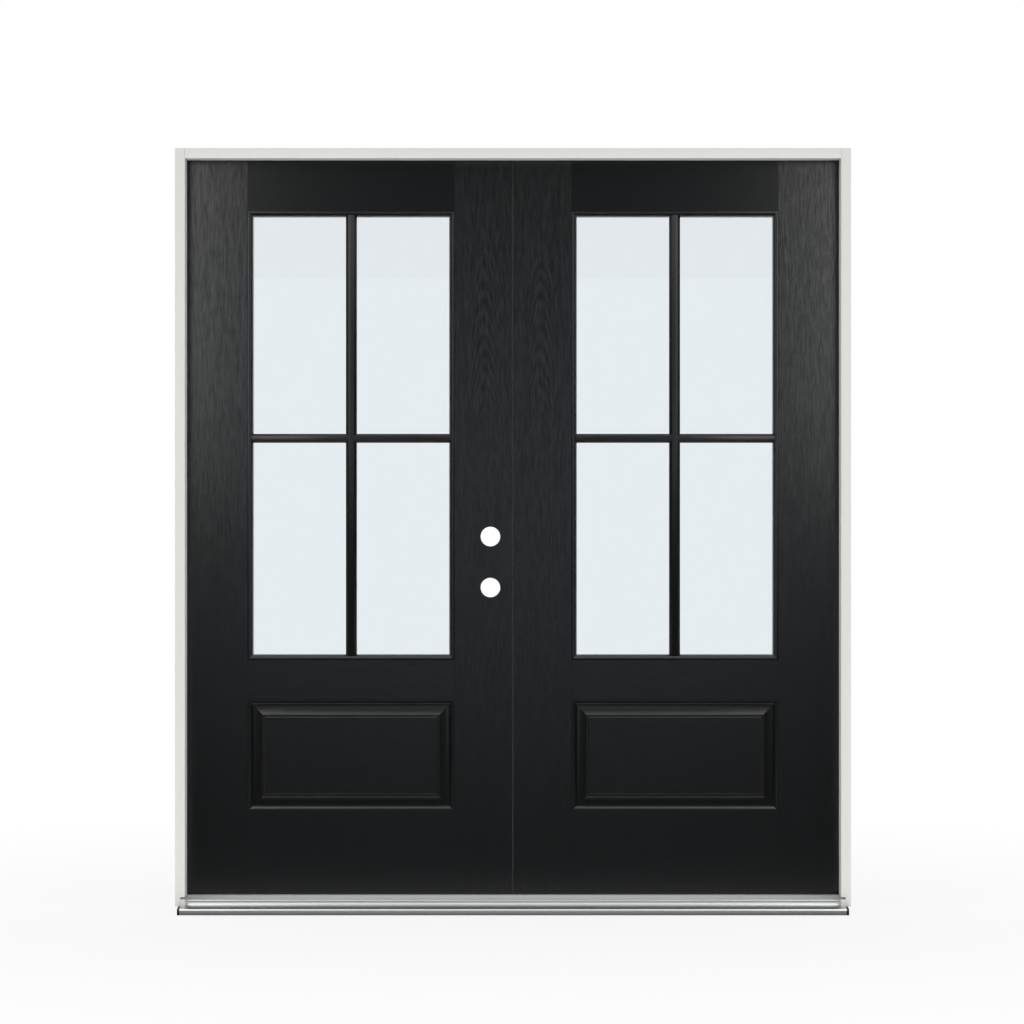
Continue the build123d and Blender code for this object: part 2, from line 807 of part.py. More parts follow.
def edge_holes(x, depth, direction):
    """Two round holes into a meeting edge at the heights of the lockset and the deadbolt."""
    with BuildPart() as holes:
        with BuildSketch(Plane.YZ.offset(x)):
            with Locations(*[(leaf_middle_y, z) for z in lock_heights]):
                Circle(latch_bore_radius)
        extrude(amount=direction * depth)
    return holes.part


def latch_mortises():
    """Shallow recesses in the active leaf's edge for the faceplates of latch and deadbolt."""
    with BuildPart() as mortises:
        with Locations(*[(-lock_edge, leaf_middle_y, z) for z in lock_heights]):
            Box(2 * latch_plate_depth, latch_plate_width, latch_plate_height)
    return mortises.part


# Build and store every piece
os.makedirs("parts", exist_ok=True)

deck = sill_deck()
cap = threshold_cap()
write(deck, "sill_deck")
write(cap, "threshold_cap")
write(sill_base(deck, cap), "sill_base")
write(sill_end_caps(), "sill_end_caps")
write(without(sill_end_dams(), deck), "sill_end_dams")
write(head_jamb(), "head_jamb")
write(head_weatherstrip(), "head_weatherstrip")
write(strike_plate(head_face), "head_strike_plate")
write(strike_plate(threshold_top - strike_sheet), "sill_strike_plate")
write(hinge_pins(), "hinge_pins")
write(hinge_screws((LEFT * jamb_face, LEFT), (RIGHT * jamb_face, RIGHT)), "frame_hinge_screws")

latch_holes = edge_holes(-lock_edge, lock_backset, LEFT)
seal = meeting_seal()
bolts = {"top_bolt": (leaf_top, 1), "bottom_bolt": (leaf_bottom, -1)}
lock_reach = leaf_width - stile_width

for side, name, edge in ((LEFT, "active", "left"), (RIGHT, "passive", "right")):
    write(side_jamb(side), f"{edge}_jamb")
    write(side_weatherstrip(side), f"{edge}_weatherstrip")
    write(hinge_leaves(side, side * jamb_face, side, 0), f"{edge}_frame_hinge_leaves")
    write(hinge_leaves(side, side * hinge_edge, -side, 1), f"{name}_hinge_leaves")
    write(hinge_screws((side * hinge_edge, -side)), f"{name}_hinge_screws")

    outer_skin = moulded_skin(side)
    inner_skin = turned_inside(outer_skin)
    pockets = hinge_plates(side * hinge_edge, -side, jamb_back + overrun)
    lock_stile = framing(side, lock_reach, leaf_width, leaf_bottom, leaf_top)
    core_cutters = []
    sweep_strip = door_sweep(side)
    if side == LEFT:
        block = framing(side, lock_reach - lock_block_width, lock_reach,
                        lock_block_middle - lock_block_height / 2,
                        lock_block_middle + lock_block_height / 2)
        core_cutters.append(block)
        write(without(with_lock_bores(block), latch_holes), "active_lock_block")
        lock_stile = without(lock_stile, latch_holes, latch_mortises())
    else:
        strikes = edge_holes(lock_edge, stile_width, RIGHT)
        lock_stile = without(lock_stile, strikes, *[bolt_pocket(*place) for place in bolts.values()])
        sweep_strip = without(sweep_strip, bolt_passage())
    write(foam_core(side, *core_cutters), f"{name}_foam_core")
    inner_skin = without(inner_skin, pockets)
    if side == LEFT:
        outer_skin = with_lock_bores(outer_skin)
        inner_skin = with_lock_bores(inner_skin)
    write(outer_skin, f"{name}_exterior_skin")
    write(inner_skin, f"{name}_interior_skin")
    write(without(framing(side, 0, stile_width, leaf_bottom, leaf_top), pockets), f"{name}_hinge_stile")
    write(lock_stile, f"{name}_lock_stile")
    write(framing(side, stile_width, lock_reach, leaf_top - top_rail_height, leaf_top), f"{name}_top_rail")
    write(framing(side, stile_width, lock_reach, leaf_bottom, leaf_bottom + bottom_rail_height),
          f"{name}_bottom_rail")
    surround = lite_frame(side)
    write(surround, f"{name}_exterior_lite_frame")
    write(turned_inside(surround), f"{name}_interior_lite_frame")
    write(glass_pane(side, glass_front), f"{name}_outer_glass")
    write(glass_pane(side, glass_back - pane_thickness), f"{name}_inner_glass")
    write(glass_spacer(side), f"{name}_glass_spacer")
    write(sweep_strip, f"{name}_door_sweep")

write(seal, "meeting_seal")
for name, place in bolts.items():
    write(flush_bolt(*place), name)
    write(bolt_plate(*place), f"{name}_plate")
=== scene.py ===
# %% [markdown]
# # A pair of black fibreglass entrance doors
# The real object is a prehung pair: two moulded leaves with glass in their upper halves, an off-white
# frame and an aluminium sill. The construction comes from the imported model. This script gives it its
# looks: it models the moulded faces again with fine, soft edges, paints every piece and sets up a plain
# studio.

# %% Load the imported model
import json
import math

import bmesh
import bpy
from mathutils import Matrix, Vector

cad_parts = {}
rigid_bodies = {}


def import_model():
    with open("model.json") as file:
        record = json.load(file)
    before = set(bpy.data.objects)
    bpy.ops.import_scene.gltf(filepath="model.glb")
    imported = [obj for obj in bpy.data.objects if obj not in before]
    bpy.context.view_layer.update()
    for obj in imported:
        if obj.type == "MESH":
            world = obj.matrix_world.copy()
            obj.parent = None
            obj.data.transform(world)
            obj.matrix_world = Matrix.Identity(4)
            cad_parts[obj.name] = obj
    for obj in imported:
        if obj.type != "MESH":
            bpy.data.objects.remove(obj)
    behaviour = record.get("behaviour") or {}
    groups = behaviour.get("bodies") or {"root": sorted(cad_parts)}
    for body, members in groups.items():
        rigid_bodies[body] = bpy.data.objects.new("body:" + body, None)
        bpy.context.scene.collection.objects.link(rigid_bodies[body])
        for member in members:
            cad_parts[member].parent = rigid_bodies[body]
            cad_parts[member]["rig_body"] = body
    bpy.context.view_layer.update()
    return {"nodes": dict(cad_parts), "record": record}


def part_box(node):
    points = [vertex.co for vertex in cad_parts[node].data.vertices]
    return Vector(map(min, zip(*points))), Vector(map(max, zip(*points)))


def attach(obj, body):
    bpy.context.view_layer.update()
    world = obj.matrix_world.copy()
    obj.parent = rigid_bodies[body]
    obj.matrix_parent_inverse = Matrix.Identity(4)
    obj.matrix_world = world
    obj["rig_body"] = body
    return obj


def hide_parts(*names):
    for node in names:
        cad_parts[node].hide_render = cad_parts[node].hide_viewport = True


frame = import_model()
nodes = frame["nodes"]
slot_of = {part["node"]: part["material_slot"] for part in frame["record"]["subparts"]}
MM = 0.001
LEAVES = ("active", "passive")
FACES = ((False, "exterior"), (True, "interior"))

# %% [markdown]
# ## Measures of a leaf
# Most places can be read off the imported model: the skin gives the leaf's edges and the lite frame gives
# the glass opening. The raised panel is pressed into the skin, so its own sizes are named here, in
# metres.

# %% Measures of a leaf
leaf_low, leaf_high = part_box("active_exterior_skin")
lite_low, lite_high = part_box("active_exterior_lite_frame")
leaf_front = leaf_low.y
leaf_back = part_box("active_interior_skin")[1].y
leaf_middle_y = (leaf_front + leaf_back) / 2
glass_front = lite_high.y
hinge_joint_x = -lite_low.x
lock_joint_x = -lite_high.x
bottom_rail_face = 220 * MM
panel_height = 303.5 * MM
panel_low = leaf_low.z + bottom_rail_face
panel_high = panel_low + panel_height
skin_thickness = 2.4 * MM
print("leaf", [round(v, 4) for v in leaf_high - leaf_low], "joints at", lock_joint_x, hinge_joint_x)

# %% [markdown]
# ## Small tools for meshes
# Every new piece ends the same way: its bmesh becomes a mesh, flat areas stay flat while curved ones are
# shaded smooth, and the object is tied to the body that carries it. One function does this for all of
# them. Objects stay at the origin, so that patterns on Object coordinates lie where they were designed.

# %% Put a finished bmesh into the scene
SMOOTH_BELOW = math.radians(32)
MITRED_BELOW = math.radians(15)
SHARP_ABOVE = math.radians(28)
TINY = 0.001 * MM


def place(name, bm, material, body, slot, *stands_for, smooth_below=SMOOTH_BELOW):
    """Turn a bmesh into a piece that rides on a body and stands for CAD nodes."""
    mesh = bpy.data.meshes.new(name)
    bm.to_mesh(mesh)
    bm.free()
    mesh.shade_smooth()
    mesh.set_sharp_from_angle(angle=smooth_below)
    mesh.materials.append(material)
    piece = bpy.data.objects.new(name, mesh)
    bpy.context.scene.collection.objects.link(piece)
    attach(piece, body)
    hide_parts(*stands_for)
    print(name, len(mesh.polygons), "faces on", body)


def soften(bm, width, segments=2):
    """Round every sharp edge a little, as moulds, saws and sandpaper leave it."""
    sharp = [e for e in bm.edges if len(e.link_faces) == 2 and e.calc_face_angle(0) > SHARP_ABOVE]
    bmesh.ops.bevel(bm, geom=sharp, offset=width, offset_type="OFFSET", affect="EDGES", segments=segments,
                    profile=0.5, material=-1, clamp_overlap=True)


def new_verts(made):
    """The vertices among the things that an operator made."""
    return [thing for thing in made["geom"] if isinstance(thing, bmesh.types.BMVert)]


def pulled(bm, face):
    """Lift a copy of a face off the mesh, with walls round it, and take the old face away."""
    made = bmesh.ops.extrude_face_region(bm, geom=[face])
    bmesh.ops.delete(bm, geom=[face], context="FACES_ONLY")
    return next(thing for thing in made["geom"] if isinstance(thing, bmesh.types.BMFace))


def thicken(bm, outwards, thickness):
    """Turn a sheet's faces outwards, then give it its thickness behind them."""
    bmesh.ops.recalc_face_normals(bm, faces=bm.faces)
    bm.normal_update()
    if sum(face.normal.dot(Vector(outwards)) * face.calc_area() for face in bm.faces) < 0:
        bmesh.ops.reverse_faces(bm, faces=bm.faces)
    bmesh.ops.solidify(bm, geom=bm.faces[:], thickness=thickness)


# %% [markdown]
# ## Curves of a moulding
# The panel's moulding is a chain of straight and round stretches. A round one starts in a known heading
# and ends in a known point, which fixes its circle, so a short formula gives as many points as it needs.

# %% Points on an arc
def arc(start, heading, end, steps):
    """Points of the circle that leaves start along heading and passes through end."""
    start, heading, end = Vector(start), Vector(heading).normalized(), Vector(end)
    chord = end - start
    turn = 2 * heading.angle_signed(chord)
    points = []
    for step in range(1, steps + 1):
        part = turn * step / steps
        reach = chord.length * math.sin(part / 2) / math.sin(turn / 2)
        points.append(start + Matrix.Rotation(-part / 2, 2) @ heading * reach)
    return points


ovolo = arc((3, 1.6), (1, 0), (15, 10), 8)
cove = arc((36, 5.5), (18, -4.5), (41, 2.5), 5)
panel_profile = [(0.8, 1.6), (3, 1.6), *ovolo, (18, 10), (36, 5.5), *cove, (46, 2.5), (48, 0.8)]
panel_profile = [Vector(point) * MM for point in panel_profile]
print("panel moulding of", len(panel_profile), "points, widest", round(panel_profile[-1].x, 4))

# %% [markdown]
# ## Pressing a profile into a face
# A mitred moulding could be swept along a path, but insetting one face again and again gives the same
# mitres with no joins to clean: each inset is one step of the profile, and its new corners move to the
# step's depth.

# %% Press a moulding into a face
def press(bm, face, profile, level):
    """Inset a face step by step; each step has a run from the rim and a depth below level, towards +Y."""
    run = 0.0
    for point in profile:
        if point.x - run > TINY:
            bmesh.ops.inset_region(bm, faces=[face], thickness=point.x - run, use_even_offset=True)
        else:
            face = pulled(bm, face)
        run = point.x
        for vert in face.verts:
            vert.co.y = level + point.y
    return face


def upright_rectangle(bm, low, high, y):
    """One face in the plane of the leaf that looks outdoors."""
    corners = [(low.x, low.z), (high.x, low.z), (high.x, high.z), (low.x, high.z)]
    return bm.faces.new([bm.verts.new((x, y, z)) for x, z in corners])


def at_side(bm, leaf, inside):
    """Move a mesh that was made for the outdoor face of the left leaf to another face of the pair."""
    if leaf == "passive":
        bmesh.ops.scale(bm, vec=(-1, 1, 1), verts=bm.verts)
    if inside:
        turn = Matrix.Translation((0, leaf_middle_y, 0))
        bmesh.ops.scale(bm, vec=(1, -1, 1), verts=bm.verts, space=turn.inverted())
    bmesh.ops.recalc_face_normals(bm, faces=bm.faces)


# %% [markdown]
# ## Black satin skin with moulded wood grain
# The skins are pressed fibreglass that carries the print of real boards: grain runs up the stiles,
# across the rails, and opens into arched figure on the stiles. Stretched noise makes the fibres, and a
# sine of a bent height makes the arches. Both only tilt the surface a little, so most of the look comes
# from soft light.

# %% Short ways to write material nodes
def finish(name, colour, roughness, **sockets):
    """A principled material with plain values on its own sockets; returns the material and its shader."""
    material = bpy.data.materials.new(name)
    material.use_nodes = True
    shader = material.node_tree.nodes["Principled BSDF"]
    shader.inputs["Base Color"].default_value = (*colour, 1)
    shader.inputs["Roughness"].default_value = roughness
    for socket, value in sockets.items():
        shader.inputs[socket.replace("_", " ")].default_value = value
    return material, shader


def add(owner, kind, values=None, **settings):
    """A new node of a material or a world; a value that is another node's socket is linked."""
    tree = owner.node_tree
    node = tree.nodes.new("ShaderNode" + kind)
    for key, value in settings.items():
        setattr(node, key, value)
    for socket, value in (values or {}).items():
        if isinstance(value, bpy.types.NodeSocket):
            tree.links.new(value, node.inputs[socket])
        else:
            node.inputs[socket].default_value = value
    return node


def math_of(owner, operation, first, second=0.0):
    """The result of one piece of arithmetic."""
    return add(owner, "Math", {0: first, 1: second}, operation=operation).outputs[0]


def ramp(owner, value, start, end, low=0.0, high=1.0, kind="LINEAR"):
    """A number that goes from low to high while a value goes from start to end."""
    ranges = {"Value": value, "From Min": start, "From Max": end, "To Min": low, "To Max": high}
    return add(owner, "MapRange", ranges, interpolation_type=kind).outputs[0]


def blended(owner, share, first, second):
    """A number that goes from first to second with a share that is cut off at nought and one."""
    return ramp(owner, share, 0.0, 1.0, first, second)


def either(owner, share, first, second):
    """The first number where a share is nought, the second where it is one."""
    return add(owner, "Mix", {"Factor": share, "A": first, "B": second}).outputs["Result"]


def object_place(owner):
    """Where on its object a point lies."""
    return add(owner, "TexCoord").outputs["Object"]


def streaks(material, scale, detail=5.0, distortion=0.0):
    """Noise stretched by its scale along each axis of the object."""
    stretched = add(material, "Mapping", {"Vector": object_place(material), "Scale": scale}).outputs[0]
    noise = add(material, "TexNoise", {"Vector": stretched, "Scale": 1.0, "Detail": detail,
                                       "Roughness": 0.6, "Distortion": distortion})
    return noise.outputs["Fac"]


def emboss(material, shader, height, depth, strength):
    """Let a height tilt the surface by up to a depth in metres."""
    bump = add(material, "Bump", {"Height": height, "Distance": depth, "Strength": strength})
    material.node_tree.links.new(bump.outputs[0], shader.inputs["Normal"])


def tint(material, shader, share, dark, light):
    """Let a share choose between two colours."""
    mix = add(material, "Mix", data_type="RGBA")
    material.node_tree.links.new(share, mix.inputs["Factor"])
    mix.inputs["A"].default_value = (*dark, 1)
    mix.inputs["B"].default_value = (*light, 1)
    material.node_tree.links.new(mix.outputs["Result"], shader.inputs["Base Color"])


# %% [markdown]
# The fibres are noise that is fine across the grain and long along it, and the direction changes at the
# joints between stiles and rails. Fibres that stand up get more shine than the pores between them, which
# shows better on black than a change of colour does.

# %% The leaf's finish
FIBRES, ALONG, FIBRE_DETAIL, FIBRE_BEND = 260, 26, 6.0, 0.4
ARCH_LOW, ARCH_HIGH, ARCH_FADE = 1.36, 1.80, 0.12
ARCH_HEART, ARCH_BOW, ARCH_PITCH = 78 * MM, 95.0, 46 * MM
ARCH_NOISE, ARCH_NOISE_DETAIL, ARCH_WAVER, ARCH_SHARE = (14, 14, 3), 3.0, 0.12, 0.09
STILE_GRAIN, LOW_GRAIN, RAIL_GRAIN, TOP_RAIL_GRAIN = 0.62, 0.3, 0.26, 0.1
FAINT_BELOW, STRONG_ABOVE = 0.6, 1.7
JOINT_HALF_WIDTH, JOINT_DEPTH, FULL_RELIEF = 0.7 * MM, 0.08, 0.16
GRAIN_DEPTH, GRAIN_STRENGTH = 0.12 * MM, 0.6
LEAF_BLACK = (0.003, 0.0032, 0.0035)
PORE_BLACK, FIBRE_BLACK = (0.0018, 0.002, 0.0022), (0.0055, 0.0058, 0.0062)
LEAF_ROUGHNESS, PORE_SHINE, FIBRE_SHINE, TOP_RAIL_SHINE = 0.26, 0.3, 0.9, 0.55


def near(material, value, target, reach):
    """One within a reach of a target, nought elsewhere."""
    return add(material, "Math", {0: value, 1: target, 2: reach}, operation="COMPARE").outputs[0]


def arches(material, across, up):
    """Nested arches round the heart of a lock stile, bent by noise and kept to part of its height."""
    from_heart = math_of(material, "SUBTRACT", across, ARCH_HEART)
    bow = math_of(material, "MULTIPLY", math_of(material, "MULTIPLY", from_heart, from_heart), ARCH_BOW)
    waver = math_of(material, "MULTIPLY", streaks(material, ARCH_NOISE, ARCH_NOISE_DETAIL), ARCH_WAVER)
    rise = math_of(material, "ADD", math_of(material, "ADD", up, bow), waver)
    rings = math_of(material, "SINE", math_of(material, "MULTIPLY", rise, 2 * math.pi / ARCH_PITCH))
    above = ramp(material, up, ARCH_LOW - ARCH_FADE, ARCH_LOW + ARCH_FADE, kind="SMOOTHSTEP")
    below = ramp(material, up, ARCH_HIGH - ARCH_FADE, ARCH_HIGH + ARCH_FADE, 1.0, 0.0, "SMOOTHSTEP")
    return math_of(material, "MULTIPLY", rings, math_of(material, "MULTIPLY", above, below))


def leaf_black():
    """Satin black over moulded grain, turned along each stile and rail."""
    material, shader = finish("leaf_black", LEAF_BLACK, LEAF_ROUGHNESS)
    axes = add(material, "SeparateXYZ", {0: object_place(material)}).outputs
    across, up = math_of(material, "ABSOLUTE", axes["X"]), axes["Z"]
    on_lock_stile = math_of(material, "LESS_THAN", across, lock_joint_x)
    on_hinge_stile = math_of(material, "GREATER_THAN", across, hinge_joint_x)
    on_stile = math_of(material, "ADD", on_lock_stile, on_hinge_stile)
    on_top_rail = math_of(material, "GREATER_THAN", up, lite_high.z)
    up_grain = streaks(material, (FIBRES, FIBRES, ALONG), FIBRE_DETAIL, FIBRE_BEND)
    cross_grain = streaks(material, (ALONG, FIBRES, FIBRES), FIBRE_DETAIL, FIBRE_BEND)
    arch = math_of(material, "MULTIPLY", arches(material, across, up), on_lock_stile)
    stile_grain = math_of(material, "ADD", up_grain, math_of(material, "MULTIPLY", arch, ARCH_SHARE))
    fibres = either(material, on_stile, cross_grain, stile_grain)
    on_stiles = ramp(material, up, FAINT_BELOW, STRONG_ABOVE, LOW_GRAIN, STILE_GRAIN)
    on_rails = blended(material, on_top_rail, RAIL_GRAIN, TOP_RAIL_GRAIN)
    strength = either(material, on_stile, on_rails, on_stiles)
    joint = math_of(material, "ADD", near(material, across, lock_joint_x, JOINT_HALF_WIDTH),
                    near(material, across, hinge_joint_x, JOINT_HALF_WIDTH))
    relief = math_of(material, "MULTIPLY", math_of(material, "SUBTRACT", fibres, 0.5), strength)
    relief = math_of(material, "SUBTRACT", relief, math_of(material, "MULTIPLY", joint, JOINT_DEPTH))
    grain = ramp(material, relief, -FULL_RELIEF, FULL_RELIEF)
    emboss(material, shader, grain, GRAIN_DEPTH, GRAIN_STRENGTH)
    tint(material, shader, grain, PORE_BLACK, FIBRE_BLACK)
    smooth_rail = math_of(material, "GREATER_THAN", on_top_rail, on_stile)
    shine = math_of(material, "MULTIPLY", blended(material, grain, PORE_SHINE, FIBRE_SHINE),
                    blended(material, smooth_rail, 1.0, TOP_RAIL_SHINE))
    material.node_tree.links.new(shine, shader.inputs["Specular IOR Level"])
    return material


finishes = {"leaf_skin": leaf_black()}
print("leaf finish made")

# %% [markdown]
# ## The other finishes
# The lite frames are smooth mouldings in the same black. The jambs have a thick off-white factory coat
# with a trace of the wood under it. The sill is bright aluminium with the fine lines that rolling
# leaves, and its cap and ends are plain moulded plastic. Each one gets a faint pattern, since no real
# surface is one flat colour.

# %% Paint, plastic, metal, glass and wood
FINE, UP_FIBRE, ALONG_X, TURNED = (300, 300, 300), (160, 160, 6), (4, 700, 700), (40, 40, 900)
GLOSS_SPREAD, PATTERN_STRENGTH = 0.1, 0.4
METAL = {"Metallic": 1.0}


def patterned(name, colour, roughness, scale, depth, variation=0.08, sockets=None):
    """A finish whose colour, gloss and surface (by a depth in mm) vary a little with stretched noise."""
    material, shader = finish(name, colour, roughness, **(sockets or {}))
    pattern = streaks(material, scale)
    dark = [channel * (1 - variation) for channel in colour]
    light = [min(1.0, channel * (1 + variation)) for channel in colour]
    tint(material, shader, pattern, dark, light)
    gloss = blended(material, pattern, roughness * (1 - GLOSS_SPREAD), roughness * (1 + GLOSS_SPREAD))
    material.node_tree.links.new(gloss, shader.inputs["Roughness"])
    emboss(material, shader, pattern, depth * MM, PATTERN_STRENGTH)
    return material


recipes = {
    "lite_frame": ("lite_frame_black", (0.0035, 0.0037, 0.004), 0.28, FINE, 0.02, 0.08,
                   {"Specular_IOR_Level": 0.65}),
    "jamb_white": ("jamb_white", (0.61, 0.615, 0.587), 0.5, UP_FIBRE, 0.05, 0.015),
    "end_dam_white": ("end_dam_white", (0.61, 0.615, 0.592), 0.5, FINE, 0.03, 0.02),
    "sill_aluminium": ("sill_aluminium", (0.74, 0.745, 0.74), 0.28, ALONG_X, 0.02, 0.03, METAL),
    "cap_grey": ("cap_grey", (0.535, 0.54, 0.517), 0.5, FINE, 0.04),
    "sill_composite": ("sill_composite", (0.16, 0.15, 0.14), 0.7, FINE, 0.1),
    "end_black": ("end_black", (0.006, 0.006, 0.006), 0.45, FINE, 0.03),
    "seal_rubber": ("seal_rubber", (0.014, 0.013, 0.012), 0.75, FINE, 0.05),
    "hardware_steel": ("hardware_steel", (0.62, 0.61, 0.59), 0.3, TURNED, 0.01, 0.04, METAL),
    "lumber": ("lumber_black_edge", (0.006, 0.0062, 0.0065), 0.5, UP_FIBRE, 0.2),
    "foam": ("foam", (0.75, 0.68, 0.45), 0.9, FINE, 0.3),
    "pane_spacer": ("pane_spacer", (0.62, 0.63, 0.64), 0.35, FINE, 0.02, 0.08, METAL)}
for slot, recipe in recipes.items():
    finishes[slot] = patterned(*recipe)


def clear_glass():
    """Float glass with a faint cold tint and the slightest waviness."""
    cold_tint, broad_waves, wave_depth, wave_strength = (0.88, 0.905, 0.92), (2, 2, 2), 0.02 * MM, 0.2
    material, shader = finish("clear_glass", cold_tint, 0.0, Transmission_Weight=1.0, IOR=1.3)
    emboss(material, shader, streaks(material, broad_waves, 1.0), wave_depth, wave_strength)
    return material


finishes["clear_glass"] = clear_glass()
for node, piece in nodes.items():
    for slot in piece.material_slots:
        slot.material = finishes[slot_of[node]]
print(len(finishes), "finishes on", len(nodes), "CAD nodes")

# %% [markdown]
# ## The moulded skins
# Each skin is one sheet. It starts as a flat rectangle, which cuts divide at the edges of the glass, the
# panel and the lock holes. The glass cell is taken out, the panel cell takes the moulding, the rim of
# each square lock cell is divided and drawn in to a circle, and the whole sheet then gets its thickness.

# %% Model one skin
lock_x, lock_heights = -61.9 * MM, (884 * MM, 1023.7 * MM)
lock_radius = 26.99 * MM
lock_cell = 34 * MM
rim_cuts = 15


def split_at(bm, axis, value):
    """Cut every face along a plane across one axis."""
    normal = Vector((axis == "x", 0, axis == "z"))
    everything = bm.verts[:] + bm.edges[:] + bm.faces[:]
    bmesh.ops.bisect_plane(bm, geom=everything, plane_co=normal * value, plane_no=normal)


def cell_at(bm, x, z):
    """The face of the sheet that holds a point."""
    return min(bm.faces, key=lambda f: (f.calc_center_median() - Vector((x, leaf_front, z))).length)


def round_hole(bm, x, z):
    """Open a round hole in the square cell about a point: its divided rim is drawn in to the circle."""
    cell = cell_at(bm, x, z)
    rim = bmesh.ops.subdivide_edges(bm, edges=cell.edges[:], cuts=rim_cuts)["geom_split"]
    bmesh.ops.delete(bm, geom=[cell_at(bm, x, z)], context="FACES_ONLY")
    rim = [edge for edge in rim if isinstance(edge, bmesh.types.BMEdge)]
    middle = Vector((x, leaf_front, z))
    for vert in new_verts(bmesh.ops.extrude_edge_only(bm, edges=rim)):
        vert.co = middle + (vert.co - middle).normalized() * lock_radius


def skin_sheet(leaf, inside):
    """The pressed sheet of one face of one leaf."""
    bm = bmesh.new()
    upright_rectangle(bm, leaf_low, leaf_high, leaf_front)
    for x in (-hinge_joint_x, -lock_joint_x):
        split_at(bm, "x", x)
    for z in (panel_low, panel_high, lite_low.z, lite_high.z):
        split_at(bm, "z", z)
    middle_x = -(hinge_joint_x + lock_joint_x) / 2
    glass_cell = cell_at(bm, middle_x, (lite_low.z + lite_high.z) / 2)
    panel_cell = cell_at(bm, middle_x, (panel_low + panel_high) / 2)
    bmesh.ops.delete(bm, geom=[glass_cell], context="FACES_ONLY")
    press(bm, panel_cell, panel_profile, leaf_front)
    if leaf == "active":
        for offset in (-lock_cell, lock_cell):
            split_at(bm, "x", lock_x + offset)
            for z in lock_heights:
                split_at(bm, "z", z + offset)
        for z in lock_heights:
            round_hole(bm, lock_x, z)
    thicken(bm, (0, -1, 0), skin_thickness)
    at_side(bm, leaf, inside)
    return bm


for leaf in LEAVES:
    for inside, face in FACES:
        node = f"{leaf}_{face}_skin"
        place(f"{node}_moulded", skin_sheet(leaf, inside), finishes["leaf_skin"], f"{leaf}_leaf",
              "leaf_skin", node, smooth_below=MITRED_BELOW)

# %% [markdown]
# ## The lite frames
# A lite frame is the same kind of moulding turned round: one rectangle stands up from the glass, steps
# over a small groove to a crest and curves down to a thin lip. Its middle is then open, and a last ring
# closes it against the glass. The dividing bars are prisms that run into it. The cross bar is a hair
# lower than the upright, so that where they cross no two faces lie in one plane.

# %% Model one lite frame
sight_width = 14.5 * MM
lite_profile = [(0, -10), (1.6, -10), (1.6, -11.6), (3.2, -11.6),
                *arc((3.2, -11.6), (1, 0), (12, -5.5), 7), (14.5, 0)]
lite_profile = [Vector(point) * MM for point in lite_profile]
upright_width, upright_rise = 29 * MM, 9 * MM
cross_width, cross_rise, cross_drop = 24 * MM, 8.7 * MM, 7 * MM
bar_edge, lite_edge = 3 * MM, 0.35 * MM


def prism(bm, corners, along):
    """A closed prism: a flat outline pushed along a vector."""
    base = bm.faces.new([bm.verts.new(corner) for corner in corners])
    made = bmesh.ops.extrude_face_region(bm, geom=[base])
    bmesh.ops.translate(bm, vec=along, verts=new_verts(made))


def bar_outline(width, rise):
    """Section of a dividing bar: distance from its middle line and height above the glass."""
    half, flat = width / 2, width / 4
    return [(-half, 0), (-half, bar_edge), (-flat, rise), (flat, rise), (half, bar_edge), (half, 0)]


def lite_surround(leaf, inside):
    """The moulded frame with its bars on one side of the glass."""
    bm = bmesh.new()
    first = upright_rectangle(bm, lite_low, lite_high, glass_front)
    last = press(bm, first, lite_profile, glass_front)
    bmesh.ops.delete(bm, geom=[last], context="FACES_ONLY")
    bmesh.ops.bridge_loops(bm, edges=[e for e in bm.edges if e.is_boundary])
    middle = (lite_low + lite_high) / 2
    start, reach = lite_low.z + sight_width / 2, lite_high.z - lite_low.z - sight_width
    section = bar_outline(upright_width, upright_rise)
    prism(bm, [(middle.x + u, glass_front - v, start) for u, v in section], (0, 0, reach))
    start, reach = lite_low.x + sight_width / 2, lite_high.x - lite_low.x - sight_width
    level, section = middle.z - cross_drop, bar_outline(cross_width, cross_rise)
    prism(bm, [(start, glass_front - v, level + u) for u, v in section], (reach, 0, 0))
    bmesh.ops.recalc_face_normals(bm, faces=bm.faces)
    soften(bm, lite_edge)
    at_side(bm, leaf, inside)
    return bm


for leaf in LEAVES:
    for inside, face in FACES:
        node = f"{leaf}_{face}_lite_frame"
        place(f"{node}_moulded", lite_surround(leaf, inside), finishes["lite_frame"], f"{leaf}_leaf",
              "lite_frame", node)

# %% [markdown]
# ## The sill's metal deck
# The deck is one bent sheet. Its outline is a chain of five points pulled along the sill; bevelling the
# three long corner edges with many segments bends them to the right radius, and solidify gives the sheet
# its gauge.

# %% Bend the deck
deck_low, deck_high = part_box("sill_deck")
sheet = 2 * MM
bends, bend_steps = [5 * MM, 3 * MM, 3 * MM], 10
nose_height, tread_run, tread_rise = 15 * MM, 60 * MM, 23 * MM
riser_y, tread_top = deck_low.y + tread_run, deck_low.z + tread_rise
deck_line = [(deck_low.y, deck_low.z), (deck_low.y, deck_low.z + nose_height), (riser_y, tread_top),
             (riser_y, deck_high.z), (deck_high.y, deck_high.z)]
bm = bmesh.new()
chain = [bm.verts.new((deck_low.x, y, z)) for y, z in deck_line]
edges = [bm.edges.new(pair) for pair in zip(chain, chain[1:])]
made = bmesh.ops.extrude_edge_only(bm, edges=edges)
bmesh.ops.translate(bm, vec=(deck_high.x - deck_low.x, 0, 0), verts=new_verts(made))
for (y, z), radius in zip(deck_line[1:-1], bends):
    fold = [e for e in bm.edges if all(abs(v.co.y - y) + abs(v.co.z - z) < TINY for v in e.verts)]
    turn = fold[0].calc_face_angle()
    bmesh.ops.bevel(bm, geom=fold, offset=radius * math.tan(turn / 2), offset_type="OFFSET", affect="EDGES",
                    segments=bend_steps, profile=0.5, material=-1)
